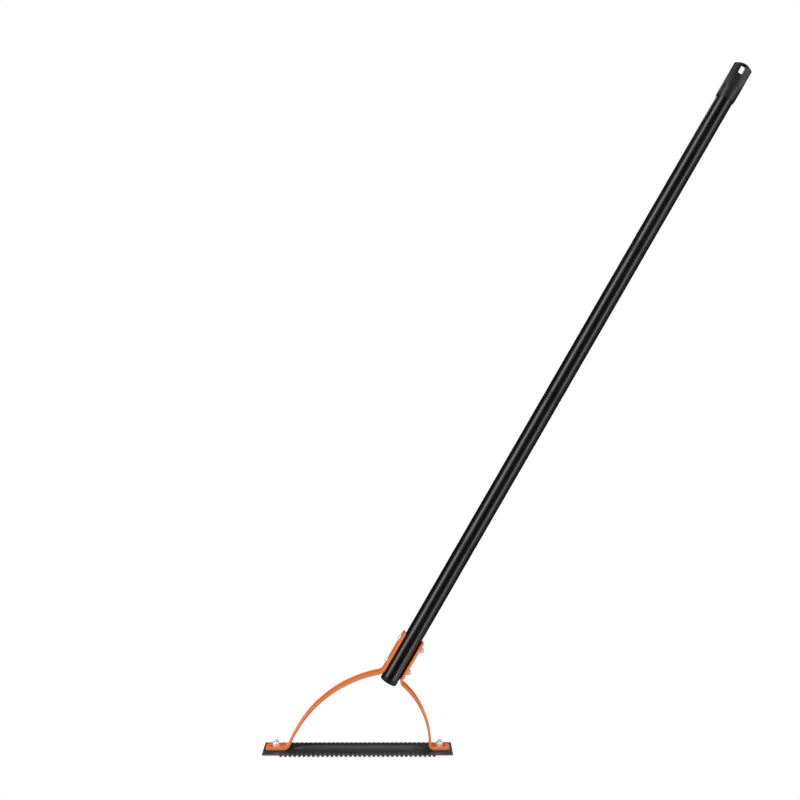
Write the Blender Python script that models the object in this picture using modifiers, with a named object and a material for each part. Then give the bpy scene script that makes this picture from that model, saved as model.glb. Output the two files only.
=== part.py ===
"""Grass whip with a double-edged blade, a bent strap yoke and a sectional tube handle.

Metres, +Z up. X runs along the blade and Y across it. The origin is the middle of
the blade's keel, on its underside. The handle leans towards +X in the XZ plane.
"""

import math

import bmesh
import bpy
from mathutils import Matrix, Vector

# Main sizes: the handle runs from its lower end to the cap, at a lean from upright
BLADE_LENGTH = 0.305
HANDLE_LENGTH = 1.087
HANDLE_LEAN = math.radians(30.0)
TUBE_RADIUS = 0.0143

# Clearance left between two pieces that touch
GAP = 0.0003

# Blade: a hardened strip with a pressed stiffening groove and scalloped teeth
BLADE_WIDTH = 0.052
BLADE_THICKNESS = 0.0018
GROOVE_DEPTH = 0.0025
GROOVE_FROM_END = 0.0475
GROOVE_END_SLOPE = 0.015
GROOVE_WIDTH = 0.020
GROOVE_POINT = 0.017
KEEL_WIDTH = 0.003
TOOTH_PITCH = 0.0074
TOOTH_DEPTH = 0.0036
TOOTH_PROUD = 0.0030
TOOTH_DROOP = 0.0016
PLAIN_END = 0.026
FLUTE_RADIUS = 0.0027
FLUTE_RUN = 0.0055
FLUTE_LAND = 0.0004
FLUTE_TOOL_LENGTH = 0.014

# Yoke: two flat straps bent edge-on to the blade
STRAP_WIDTH = 0.022
STRAP_THICKNESS = 0.004
STRAP_EDGE_ROUND = 0.0006
CLAMP_LENGTH = 0.073
CLAMP_FROM_TUBE_END = 0.010
LEFT_ARM_RADIUS = 0.196
RIGHT_ARM_RADIUS = 0.128
LEFT_BEND_FROM_END = 0.0395
RIGHT_BEND_FROM_END = 0.036
BEND_REACH = 0.006
TAB_FROM_END = 0.0045
TAB_CORNER = 0.004
CLAMP_CORNER = 0.0015

# Blade bolts stand at the inner end of slots in the two tabs
BLADE_BOLT_FROM_END = 0.0205
BLADE_BOLT_RADIUS = 0.003
BLADE_BOLT_HEAD_RADIUS = 0.0055
BLADE_BOLT_HEAD_HEIGHT = 0.0022
BLADE_NUT_FLATS = 0.010
BLADE_NUT_HEIGHT = 0.005
BLADE_WASHER_RADIUS = 0.006
BLADE_WASHER_HEIGHT = 0.0012
BLADE_BOLT_END = 0.0035
SLOT_LENGTH = 0.0125

# Clamp bolts pass through both straps and the tube between them
CLAMP_BOLT_RADIUS = 0.0025
CLAMP_BOLT_HEAD_RADIUS = 0.0048
CLAMP_BOLT_HEAD_HEIGHT = 0.0028
CLAMP_BOLT_INSET = 0.0125
CLAMP_BOLT_SPACING = 0.041
CLAMP_NUT_FLATS = 0.008
CLAMP_NUT_HEIGHT = 0.004
CLAMP_WASHER_RADIUS = 0.005
CLAMP_WASHER_HEIGHT = 0.001
CLAMP_BOLT_END = 0.002
SOCKET_SHARE = 0.62

# Handle: a lower tube and three equal ones above it, screwed together
HANDLE_FOOT_X = -0.014
HANDLE_LIFT = 0.1255
TUBE_WALL = 0.001
LOWER_SECTION = 0.254
JOINT_COUNT = 3

# End plug, with its skirt flush with the tube
PLUG_SKIRT = 0.0085
PLUG_INSERT = 0.014
PLUG_ROUND = 0.0016

# Screwed joints: a ringed collar with a core below it and a spigot above it
COLLAR_LENGTH = 0.018
COLLAR_RING_COUNT = 3
COLLAR_RING_WIDTH = 0.0016
COLLAR_RING_DEPTH = 0.0005
CORE_LENGTH = 0.024
SPIGOT_RADIUS = 0.0088
SPIGOT_LENGTH = 0.022
SOCKET_LENGTH = 0.026

# Hang cap: a sleeve over the tube, flattened to a web with a hanging slot
CAP_RADIUS = 0.0160
CAP_LIP_RADIUS = 0.0152
CAP_TAPER = 0.0050
CAP_LENGTH = 0.0673
CAP_DOME = 0.0049
CAP_BORE = 0.018
WEB_THICKNESS = 0.0095
WEB_FLAT = 0.019
CHEEK_RUN = 0.029
HANG_SLOT_LENGTH = 0.0160
HANG_SLOT_WIDTH = 0.0077
HANG_SLOT_BRIDGE = 0.0024
HANG_SLOT_ROUND = 0.0012

# How finely round shapes are divided
TUBE_SIDES = 34
BOLT_SIDES = 16
ARC_STEPS = 20
BEND_STEPS = 5
TOOTH_STEPS = 6
CHEEK_STEPS = 12

# Finishes: colour, roughness, metallic
ORANGE_COAT = ((0.86, 0.23, 0.055), 0.38, 0.0)
BLACK_COAT = ((0.012, 0.012, 0.013), 0.30, 0.0)
BLACK_PLASTIC = ((0.022, 0.022, 0.023), 0.55, 0.0)
BLUED_STEEL = ((0.045, 0.044, 0.046), 0.42, 0.85)
ZINC = ((0.78, 0.79, 0.80), 0.28, 1.0)

# Sizes and places that follow from the ones above
GROOVE_LENGTH = BLADE_LENGTH - 2 * GROOVE_FROM_END
KEEL_LENGTH = GROOVE_LENGTH - 2 * GROOVE_END_SLOPE
BLADE_BOLT_X = BLADE_LENGTH / 2 - BLADE_BOLT_FROM_END
TAB_END_X = BLADE_LENGTH / 2 - TAB_FROM_END
LEFT_BEND_X = LEFT_BEND_FROM_END - BLADE_LENGTH / 2
RIGHT_BEND_X = BLADE_LENGTH / 2 - RIGHT_BEND_FROM_END
FLANGE_Z = GROOVE_DEPTH
BLADE_TOP_Z = FLANGE_Z + BLADE_THICKNESS
TAB_MID_Z = BLADE_TOP_Z + GAP + STRAP_THICKNESS / 2
STRAP_OFFSET = TUBE_RADIUS + GAP + STRAP_THICKNESS / 2
CLAMP_TOP = CLAMP_FROM_TUBE_END + CLAMP_LENGTH
CLAMP_BOLTS = (CLAMP_TOP - CLAMP_BOLT_INSET - CLAMP_BOLT_SPACING, CLAMP_TOP - CLAMP_BOLT_INSET)
TUBE_BORE_RADIUS = TUBE_RADIUS - TUBE_WALL
UPPER_SECTION = (HANDLE_LENGTH - LOWER_SECTION) / JOINT_COUNT
JOINTS = tuple(LOWER_SECTION + UPPER_SECTION * i for i in range(JOINT_COUNT))


def clear_scene():
    """Remove every object that a new file starts with."""
    for item in list(bpy.data.objects):
        bpy.data.objects.remove(item, do_unlink=True)


def new_collection(name):
    group = bpy.data.collections.new(name)
    bpy.context.scene.collection.children.link(group)
    return group


def add_material(item, finish):
    """Give an object a material of its own from a colour, roughness and metallic value."""
    colour, roughness, metallic = finish
    material = bpy.data.materials.new(item.name + "_finish")
    material.use_nodes = True
    shader = material.node_tree.nodes["Principled BSDF"]
    shader.inputs["Base Color"].default_value = (*colour, 1.0)
    shader.inputs["Roughness"].default_value = roughness
    shader.inputs["Metallic"].default_value = metallic
    item.data.materials.clear()
    item.data.materials.append(material)


def place(item, location=(0, 0, 0), rotation=(0, 0, 0), parent=None):
    item.location = location
    item.rotation_euler = rotation
    item.parent = parent
    return item


def mesh_object(name, bm, group):
    """Turn a bmesh into a linked object."""
    mesh = bpy.data.meshes.new(name)
    bm.to_mesh(mesh)
    bm.free()
    item = bpy.data.objects.new(name, mesh)
    group.objects.link(item)
    return item


def piece(name, bm, finish):
    item = mesh_object(name, bm, PARTS)
    add_material(item, finish)
    return item


def cutter(name, bm):
    """A guide shape that cuts or joins, and is no piece itself."""
    item = mesh_object(name, bm, CUTTERS)
    item.hide_render = True
    item.display_type = "WIRE"
    return item


def combine(item, tool, operation="DIFFERENCE"):
    modifier = item.modifiers.new(tool.name, "BOOLEAN")
    modifier.operation = operation
    modifier.solver = "EXACT"
    modifier.object = tool


def turned(name, profile, finish, sides=TUBE_SIDES):
    """Revolve a profile of (radius, height) points, which run down the outer side."""
    bm = bmesh.new()
    points = [bm.verts.new((radius, 0, height)) for radius, height in profile]
    for first, second in zip(points, points[1:]):
        bm.edges.new((first, second))
    on_axis = profile[0][0] == 0 and profile[-1][0] == 0
    if not on_axis:
        bm.edges.new((points[-1], points[0]))
    item = piece(name, bm, finish)
    screw = item.modifiers.new("revolve", "SCREW")
    screw.axis = "Z"
    screw.angle = math.tau
    screw.steps = sides
    screw.render_steps = sides
    screw.use_merge_vertices = True
    screw.merge_threshold = 0.000001
    screw.use_smooth_shade = True
    return item


def cylinder(radius, depth, sides, turn=None):
    """A closed cylinder about local Z, centred, and turned by a matrix if one is given."""
    bm = bmesh.new()
    bmesh.ops.create_cone(
        bm, cap_ends=True, segments=sides, radius1=radius, radius2=radius,
        depth=depth, matrix=turn or Matrix())
    return bm


def hull(points):
    """The closed convex form through a set of points."""
    bm = bmesh.new()
    for point in points:
        bm.verts.new(point)
    bmesh.ops.convex_hull(bm, input=bm.verts)
    bmesh.ops.recalc_face_normals(bm, faces=bm.faces)
    return bm


def outline_mesh(name, points, depth):
    """A flat outline filled on both sides and drawn out to a depth, as a closed bmesh."""
    curve = bpy.data.curves.new(name, "CURVE")
    curve.dimensions = "2D"
    curve.fill_mode = "BOTH"
    curve.extrude = depth / 2
    spline = curve.splines.new("POLY")
    spline.points.add(len(points) - 1)
    for target, (x, y) in zip(spline.points, points):
        target.co = (x, y, 0, 1)
    spline.use_cyclic_u = True
    bm = curve_to_bmesh(curve)
    inner = [edge for edge in bm.edges if all(is_level(face) for face in edge.link_faces)]
    bmesh.ops.dissolve_edges(bm, edges=inner, use_verts=False)
    return bm


def is_level(face):
    """Whether all of a face's corners have one height."""
    heights = [vert.co.z for vert in face.verts]
    return max(heights) - min(heights) < 0.000001


def curve_to_bmesh(curve):
    """Read a curve as the viewport shows it, with its loose caps welded on."""
    guide = bpy.data.objects.new(curve.name, curve)
    CUTTERS.objects.link(guide)
    depsgraph = bpy.context.evaluated_depsgraph_get()
    mesh = bpy.data.meshes.new_from_object(guide.evaluated_get(depsgraph))
    bm = bmesh.new()
    bm.from_mesh(mesh)
    bmesh.ops.remove_doubles(bm, verts=bm.verts, dist=0.00001)
    bpy.data.objects.remove(guide, do_unlink=True)
    bpy.data.meshes.remove(mesh)
    return bm


def arc(start, end, radius, steps):
    """Points of a circular arc from start to end that bulges up, its centre being below it."""
    start = Vector(start)
    end = Vector(end)
    chord = end - start
    across = Vector((chord.y, -chord.x)).normalized()
    if across.y > 0:
        across = -across
    centre = (start + end) / 2 + across * math.sqrt(radius ** 2 - (chord.length / 2) ** 2)
    first = start - centre
    swing = first.angle_signed(end - centre)
    points = []
    for step in range(steps + 1):
        turn = -swing * step / steps
        cosine = math.cos(turn)
        sine = math.sin(turn)
        points.append(centre + Vector((
            first.x * cosine - first.y * sine,
            first.x * sine + first.y * cosine)))
    return points


def point_along(path, distance):
    """The point and direction at a distance from the start of a list of points."""
    for first, second in zip(path, path[1:]):
        leg = second - first
        if distance <= leg.length:
            return first + leg.normalized() * distance, leg.normalized()
        distance -= leg.length
    raise ValueError("the path is shorter than the bend needs")


def bend(before, after, reach, steps):
    """Join two paths that meet at a corner by a smooth bend that starts a reach away."""
    entry, towards = point_along(before[::-1], reach)
    leave, onwards = point_along(after, reach)
    pull = reach * 0.6
    control = (entry, entry - towards * pull, leave - onwards * pull, leave)
    curved = []
    for step in range(1, steps):
        t = step / steps
        weights = ((1 - t) ** 3, 3 * t * (1 - t) ** 2, 3 * t * t * (1 - t), t ** 3)
        total = Vector((0, 0))
        for weight, point in zip(weights, control):
            total += point * weight
        curved.append(total)
    corner = before[-1]
    kept_before = [p for p in before if (p - corner).length > reach * 1.05]
    kept_after = [p for p in after if (p - corner).length > reach * 1.05]
    return kept_before + [entry] + curved + [leave] + kept_after


# The handle's axis, along which every handle piece and clamp bolt is placed
def handle_point(along, across):
    """World (x, z) of a point on the handle, by distance from the tube's lower end."""
    lower_end_z = FLANGE_Z + BLADE_THICKNESS / 2 + HANDLE_LIFT * math.cos(HANDLE_LEAN)
    lower_end_x = HANDLE_FOOT_X + HANDLE_LIFT * math.sin(HANDLE_LEAN)
    return Vector((
        lower_end_x + along * math.sin(HANDLE_LEAN) + across * math.cos(HANDLE_LEAN),
        lower_end_z + along * math.cos(HANDLE_LEAN) - across * math.sin(HANDLE_LEAN)))


def add_handle_axis():
    """An empty at the tube's lower end, with its local Z up the handle."""
    axis = bpy.data.objects.new("handle_axis", None)
    PARTS.objects.link(axis)
    x, z = handle_point(0, 0)
    return place(axis, (x, 0, z), (0, HANDLE_LEAN, 0))


# Blade
def toothed_edge():
    """Points of one long edge from left to right: plain, scalloped, plain."""
    half_length = BLADE_LENGTH / 2
    count = int((BLADE_LENGTH - 2 * PLAIN_END) / TOOTH_PITCH)
    start = -count * TOOTH_PITCH / 2
    crest = BLADE_WIDTH / 2 + TOOTH_PROUD
    points = [(-half_length, BLADE_WIDTH / 2), (start, BLADE_WIDTH / 2)]
    for step in range(count * TOOTH_STEPS + 1):
        swing = math.cos(math.tau * step / TOOTH_STEPS)
        x = start + TOOTH_PITCH * step / TOOTH_STEPS
        points.append((x, crest - TOOTH_DEPTH * (1 + swing) / 2))
    points += [(-start, BLADE_WIDTH / 2), (half_length, BLADE_WIDTH / 2)]
    gullets = [start + TOOTH_PITCH * i for i in range(count + 1)]
    return points, gullets


def droop_teeth(bm, gullets):
    """Fold the teeth down along the line through the gullets, and leave the plain ends flat."""
    fold = BLADE_WIDTH / 2 + TOOTH_PROUD - TOOTH_DEPTH
    for side in (-1, 1):
        bmesh.ops.bisect_plane(
            bm, geom=bm.verts[:] + bm.edges[:] + bm.faces[:], dist=0.000001,
            plane_co=(0, side * fold, 0), plane_no=(0, side, 0))
    slope = TOOTH_DROOP / TOOTH_DEPTH
    for vert in bm.verts:
        if gullets[0] + GAP < vert.co.x < gullets[-1] - GAP:
            vert.co.z -= slope * max(0, abs(vert.co.y) - fold)


def groove_form(rim_z, floor_z, overrun):
    """The pressed groove's form, a long boat shape, with its walls run on past the rim."""
    growth = (abs(rim_z - floor_z) + overrun) / abs(rim_z - floor_z)
    keel_x = KEEL_LENGTH / 2
    keel_y = KEEL_WIDTH / 2
    tip_x = keel_x + (GROOVE_LENGTH / 2 - keel_x) * growth
    shoulder_x = keel_x + (GROOVE_LENGTH / 2 - GROOVE_POINT - keel_x) * growth
    rim_y = keel_y + (GROOVE_WIDTH / 2 - keel_y) * growth
    top = rim_z + overrun
    points = []
    for side in (-1, 1):
        points.append((side * tip_x, 0, top))
        for wall in (-1, 1):
            points.append((side * shoulder_x, wall * rim_y, top))
            points.append((side * keel_x, wall * keel_y, floor_z))
    return hull(points)


def flute_tools(gullets):
    """One slanting cylinder for each gullet, which grinds it down to a thin land."""
    slope = math.atan2(BLADE_THICKNESS - FLUTE_LAND, FLUTE_RUN)
    gullet_y = BLADE_WIDTH / 2 + TOOTH_PROUD - TOOTH_DEPTH
    inner = Vector((0, gullet_y - FLUTE_RUN, BLADE_TOP_Z))
    down = Vector((0, math.cos(slope), -math.sin(slope)))
    up = Vector((0, math.sin(slope), math.cos(slope)))
    middle = inner + up * FLUTE_RADIUS + down * (FLUTE_TOOL_LENGTH / 2 - FLUTE_RADIUS)
    lie = Matrix.Translation(middle) @ down.to_track_quat("Z", "Y").to_matrix().to_4x4()
    bm = bmesh.new()
    for side in (0, math.pi):
        for x in gullets:
            where = Matrix.Translation((x, 0, 0)) @ Matrix.Rotation(side, 4, "Z") @ lie
            bmesh.ops.create_cone(
                bm, cap_ends=True, segments=12, radius1=FLUTE_RADIUS, radius2=FLUTE_RADIUS,
                depth=FLUTE_TOOL_LENGTH, matrix=where)
    return bm


def add_blade():
    edge, gullets = toothed_edge()
    outline = [(x, -y) for x, y in edge] + [(x, y) for x, y in reversed(edge)]
    bm = outline_mesh("blade_outline", outline, BLADE_THICKNESS)
    droop_teeth(bm, gullets)
    bmesh.ops.translate(bm, verts=bm.verts, vec=(0, 0, FLANGE_Z + BLADE_THICKNESS / 2))
    blade = piece("blade", bm, BLUED_STEEL)
    overrun = BLADE_THICKNESS / 3
    combine(blade, cutter("keel_form", groove_form(FLANGE_Z, 0, overrun)), "UNION")
    groove_floor = BLADE_TOP_Z - GROOVE_DEPTH
    combine(blade, cutter("groove_form", groove_form(BLADE_TOP_Z, groove_floor, overrun)))
    combine(blade, cutter("flute_tools", flute_tools(gullets)))
    for side in (-1, 1):
        drill = cutter("blade_drill", cylinder(BLADE_BOLT_RADIUS + GAP, 0.02, BOLT_SIDES))
        combine(blade, place(drill, (side * BLADE_BOLT_X, 0, FLANGE_Z)))


# Yoke arms
def arm_path(side, radius, bend_x):
    """The strap's middle line in (x, z): clamp, bend, arc, bend, tab."""
    corner = handle_point(CLAMP_FROM_TUBE_END, side * STRAP_OFFSET)
    clamp = [handle_point(CLAMP_TOP, side * STRAP_OFFSET), corner]
    foot = Vector((bend_x, TAB_MID_Z))
    bow = arc(corner, foot, radius, ARC_STEPS)
    tab = [foot, Vector((side * TAB_END_X, TAB_MID_Z))]
    upper = bend(clamp, bow, BEND_REACH, BEND_STEPS)
    return bend(upper, tab, BEND_REACH, BEND_STEPS)


def strap(path):
    """A flat bar along a path in the XZ plane, with its end corners rounded."""
    curve = bpy.data.curves.new("strap_path", "CURVE")
    curve.dimensions = "2D"
    curve.fill_mode = "NONE"
    curve.extrude = STRAP_WIDTH / 2
    spline = curve.splines.new("POLY")
    spline.points.add(len(path) - 1)
    for target, point in zip(spline.points, path):
        target.co = (point.x, point.y, 0, 1)
    bm = curve_to_bmesh(curve)
    bmesh.ops.rotate(bm, verts=bm.verts, matrix=Matrix.Rotation(math.pi / 2, 3, "X"))
    ribbon = mesh_object("strap_ribbon", bm, CUTTERS)
    wall = ribbon.modifiers.new("wall", "SOLIDIFY")
    wall.thickness = STRAP_THICKNESS
    wall.offset = 0
    wall.use_even_offset = True
    depsgraph = bpy.context.evaluated_depsgraph_get()
    mesh = bpy.data.meshes.new_from_object(ribbon.evaluated_get(depsgraph))
    bpy.data.objects.remove(ribbon, do_unlink=True)
    bm = bmesh.new()
    bm.from_mesh(mesh)
    bmesh.ops.recalc_face_normals(bm, faces=bm.faces)
    for end, rounding in ((path[0], CLAMP_CORNER), (path[-1], TAB_CORNER)):
        corners = [edge for edge in bm.edges if is_end_corner(edge, end)]
        bmesh.ops.bevel(
            bm, geom=corners, offset=rounding, segments=4, profile=0.5, affect="EDGES")
    return bm


def is_end_corner(edge, end):
    """Whether an edge runs through the strap's thickness at one end of its path."""
    first, second = (Vector((v.co.x, v.co.z)) for v in edge.verts)
    near = max((first - end).length, (second - end).length) < STRAP_THICKNESS
    level = abs(edge.verts[0].co.y - edge.verts[1].co.y) < STRAP_WIDTH / 2
    return near and level


def add_arm(name, side, radius, bend_x):
    arm = piece(name, strap(arm_path(side, radius, bend_x)), ORANGE_COAT)
    rounding = arm.modifiers.new("edges", "BEVEL")
    rounding.width = STRAP_EDGE_ROUND
    rounding.segments = 2
    rounding.limit_method = "ANGLE"
    rounding.angle_limit = math.radians(40)
    for drill in CLAMP_DRILLS:
        combine(arm, drill)
    combine(arm, add_slot_tool(side))


def add_slot_tool(side):
    """A slot with round ends, whose inner end seats the bolt."""
    radius = BLADE_BOLT_RADIUS + GAP
    ends = []
    for x in (0, SLOT_LENGTH - 2 * radius):
        for step in range(BOLT_SIDES):
            turn = math.tau * step / BOLT_SIDES
            for z in (-STRAP_THICKNESS, STRAP_THICKNESS):
                ends.append((x + radius * math.cos(turn), radius * math.sin(turn), z))
    tool = cutter("slot_tool", hull(ends))
    turn = 0 if side > 0 else math.pi
    return place(tool, (side * BLADE_BOLT_X, 0, TAB_MID_Z), (0, 0, turn))


# Fasteners
def screw_profile(radius, length, head_radius, head_height):
    """A dome head below zero and a shank above it, with a chamfered end."""
    chamfer = radius * 0.25
    return (
        (0, length), (radius - chamfer, length), (radius, length - chamfer), (radius, 0),
        (head_radius, 0), (head_radius, -head_height * 0.35),
        (head_radius * 0.86, -head_height * 0.78), (head_radius * 0.62, -head_height),
        (0, -head_height))


def add_bolt(name, radius, length, head_radius, head_height, spot):
    bolt = turned(
        name, screw_profile(radius, length, head_radius, head_height), ZINC, BOLT_SIDES)
    place(bolt, *spot)
    socket = cutter(
        name + "_socket", cylinder(radius * SOCKET_SHARE, head_height * 1.2, 6))
    location, rotation, parent = spot
    offset = Vector((0, 0, -head_height))
    if rotation != (0, 0, 0):
        offset = Vector((-head_height, 0, 0))
    combine(bolt, place(socket, Vector(location) + offset, rotation, parent))


def add_washer(name, radius, height, hole, spot):
    outline = ((radius, height), (radius, 0), (hole, 0), (hole, height))
    place(turned(name, outline, ZINC, BOLT_SIDES), *spot)


def add_nut(name, flats, height, hole, spot):
    """A hexagon nut that stands on local zero, with its corners turned down."""
    corner = flats / math.sqrt(3)
    bm = cylinder(corner, height, 6, Matrix.Translation((0, 0, height / 2)))
    nut = place(piece(name, bm, ZINC), *spot)
    bore = cutter(name + "_bore", cylinder(hole, height * 4, BOLT_SIDES))
    combine(nut, place(bore, *spot))
    dome = turned_cutter(name + "_chamfer", (
        (0, height), (flats * 0.5, height), (corner * 1.02, height - (corner - flats * 0.5)),
        (corner * 1.02, -height), (0, -height)))
    combine(nut, place(dome, *spot), "INTERSECT")


def turned_cutter(name, profile):
    """A revolved guide shape, made from the same kind of profile as a turned piece."""
    item = turned(name, profile, ZINC, BOLT_SIDES)
    PARTS.objects.unlink(item)
    CUTTERS.objects.link(item)
    item.hide_render = True
    item.display_type = "WIRE"
    return item


def add_blade_fasteners():
    """At each tab: a bolt up through blade and slot, a washer and a nut."""
    washer_z = TAB_MID_Z + STRAP_THICKNESS / 2 + GAP
    nut_z = washer_z + BLADE_WASHER_HEIGHT + GAP
    seat_z = FLANGE_Z - GAP
    length = nut_z + BLADE_NUT_HEIGHT + BLADE_BOLT_END - seat_z
    level = (0, 0, 0)
    hole = BLADE_BOLT_RADIUS + GAP
    for side, label in ((-1, "left"), (1, "right")):
        x = side * BLADE_BOLT_X
        add_bolt(
            f"blade_bolt_{label}", BLADE_BOLT_RADIUS, length, BLADE_BOLT_HEAD_RADIUS,
            BLADE_BOLT_HEAD_HEIGHT, ((x, 0, seat_z), level, None))
        add_washer(
            f"blade_washer_{label}", BLADE_WASHER_RADIUS, BLADE_WASHER_HEIGHT, hole,
            ((x, 0, washer_z), level, None))
        add_nut(
            f"blade_nut_{label}", BLADE_NUT_FLATS, BLADE_NUT_HEIGHT, hole,
            ((x, 0, nut_z), level, None))


def add_clamp_fasteners():
    """Two bolts across the handle, with heads on the left and nuts on the right."""
    face = STRAP_OFFSET + STRAP_THICKNESS / 2 + GAP
    nut_x = face + CLAMP_WASHER_HEIGHT + GAP
    length = face + nut_x + CLAMP_NUT_HEIGHT + CLAMP_BOLT_END
    across = (0, math.pi / 2, 0)
    hole = CLAMP_BOLT_RADIUS + GAP
    for along, label in zip(CLAMP_BOLTS, ("lower", "upper")):
        add_bolt(
            f"clamp_bolt_{label}", CLAMP_BOLT_RADIUS, length, CLAMP_BOLT_HEAD_RADIUS,
            CLAMP_BOLT_HEAD_HEIGHT, ((-face, 0, along), across, HANDLE_AXIS))
        add_washer(
            f"clamp_washer_{label}", CLAMP_WASHER_RADIUS, CLAMP_WASHER_HEIGHT, hole,
            ((face, 0, along), across, HANDLE_AXIS))
        add_nut(
            f"clamp_nut_{label}", CLAMP_NUT_FLATS, CLAMP_NUT_HEIGHT, hole,
            ((nut_x, 0, along), across, HANDLE_AXIS))


def add_clamp_drills():
    """The cross holes that the straps and the lower tube share."""
    reach = 2 * (STRAP_OFFSET + STRAP_THICKNESS)
    drills = []
    for along in CLAMP_BOLTS:
        drill = cutter("clamp_drill", cylinder(CLAMP_BOLT_RADIUS + GAP, reach, BOLT_SIDES))
        drills.append(place(drill, (0, 0, along), (0, math.pi / 2, 0), HANDLE_AXIS))
    return drills


# Handle
def add_tube(name, start, end):
    """One length of thin tube between two stations on the handle."""
    length = end - start
    wall = (
        (TUBE_RADIUS, length), (TUBE_RADIUS, 0), (TUBE_BORE_RADIUS, 0),
        (TUBE_BORE_RADIUS, length))
    return place(turned(name, wall, BLACK_COAT), (0, 0, start), (0, 0, 0), HANDLE_AXIS)


def add_tubes():
    """Four tubes, each ending a gap short of the collars at its ends."""
    half = COLLAR_LENGTH / 2
    lower = add_tube("lower_tube", PLUG_SKIRT + GAP, JOINTS[0] - half - GAP)
    for drill in CLAMP_DRILLS:
        combine(lower, drill)
    names = ("lower_middle_tube", "upper_middle_tube")
    for name, below, above in zip(names, JOINTS, JOINTS[1:]):
        add_tube(name, below + half + GAP, above - half - GAP)
    add_tube("top_tube", JOINTS[-1] + half + GAP, HANDLE_LENGTH + CAP_BORE - GAP)


def add_end_plug():
    """A plug in the tube's lower end, with a rounded skirt as wide as the tube."""
    core = TUBE_BORE_RADIUS - GAP
    top = PLUG_SKIRT + PLUG_INSERT
    lead = PLUG_ROUND / 2
    profile = [(0, top), (core - lead, top), (core, top - lead), (core, PLUG_SKIRT)]
    profile.append((TUBE_RADIUS, PLUG_SKIRT))
    for step in range(4):
        turn = math.pi / 2 * step / 3
        profile.append((
            TUBE_RADIUS - PLUG_ROUND * (1 - math.cos(turn)),
            PLUG_ROUND * (1 - math.sin(turn))))
    profile.append((0, 0))
    place(turned("end_plug", profile, BLACK_PLASTIC), (0, 0, 0), (0, 0, 0), HANDLE_AXIS)


def collar_profile():
    """The ringed outer side of a collar, from its top to its bottom edge."""
    spacing = COLLAR_LENGTH / (COLLAR_RING_COUNT + 1)
    points = [(TUBE_RADIUS, COLLAR_LENGTH / 2)]
    for ring in range(COLLAR_RING_COUNT):
        middle = COLLAR_LENGTH / 2 - spacing * (ring + 1)
        points.append((TUBE_RADIUS, middle + COLLAR_RING_WIDTH / 2))
        points.append((TUBE_RADIUS - COLLAR_RING_DEPTH, middle))
        points.append((TUBE_RADIUS, middle - COLLAR_RING_WIDTH / 2))
    points.append((TUBE_RADIUS, -COLLAR_LENGTH / 2))
    return points


def add_screwed_joints():
    """At each joint: a male insert with its collar, and a female insert in the next tube."""
    core = TUBE_BORE_RADIUS - GAP
    half = COLLAR_LENGTH / 2
    lead = SPIGOT_RADIUS * 0.12
    spigot_top = half + SPIGOT_LENGTH
    male = [(0, spigot_top), (SPIGOT_RADIUS - lead, spigot_top)]
    male += [(SPIGOT_RADIUS, spigot_top - lead), (SPIGOT_RADIUS, half)]
    male += collar_profile()
    male += [(core, -half), (core, -half - CORE_LENGTH), (0, -half - CORE_LENGTH)]
    bore = SPIGOT_RADIUS + GAP
    bottom = half + GAP
    top = bottom + SOCKET_LENGTH
    female = ((core, top), (core, bottom), (bore, bottom), (bore, top))
    for number, along in enumerate(JOINTS, start=1):
        place(
            turned(f"joint_{number}_collar", male, BLACK_PLASTIC),
            (0, 0, along), (0, 0, 0), HANDLE_AXIS)
        place(
            turned(f"joint_{number}_socket", female, BLACK_PLASTIC),
            (0, 0, along), (0, 0, 0), HANDLE_AXIS)


# Hang cap
def cap_profile():
    """Dome, side, tapered lip and blind bore, down the outer side and up the bore."""
    dome_radius = (CAP_RADIUS ** 2 + CAP_DOME ** 2) / (2 * CAP_DOME)
    widest = math.asin(CAP_RADIUS / dome_radius)
    points = []
    for step in range(7):
        turn = widest * step / 6
        drop = dome_radius * (1 - math.cos(turn))
        points.append((dome_radius * math.sin(turn), CAP_LENGTH - drop))
    bore = TUBE_RADIUS + GAP
    points += [(CAP_RADIUS, CAP_TAPER), (CAP_LIP_RADIUS, 0), (bore, 0), (bore, CAP_BORE)]
    points.append((0, CAP_BORE))
    return points


def cheek_outline():
    """Side view of what is cut from one cheek: flat beside the slot, then an S to the side."""
    web = WEB_THICKNESS / 2
    flat_end = CAP_LENGTH - WEB_FLAT
    clear = CAP_RADIUS * 1.01
    points = [(clear, CAP_LENGTH * 1.1), (web, CAP_LENGTH * 1.1)]
    for step in range(CHEEK_STEPS + 1):
        t = step / CHEEK_STEPS
        swell = t * t * (3 - 2 * t)
        points.append((web + (clear - web) * swell, flat_end - CHEEK_RUN * t))
    return points


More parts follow.
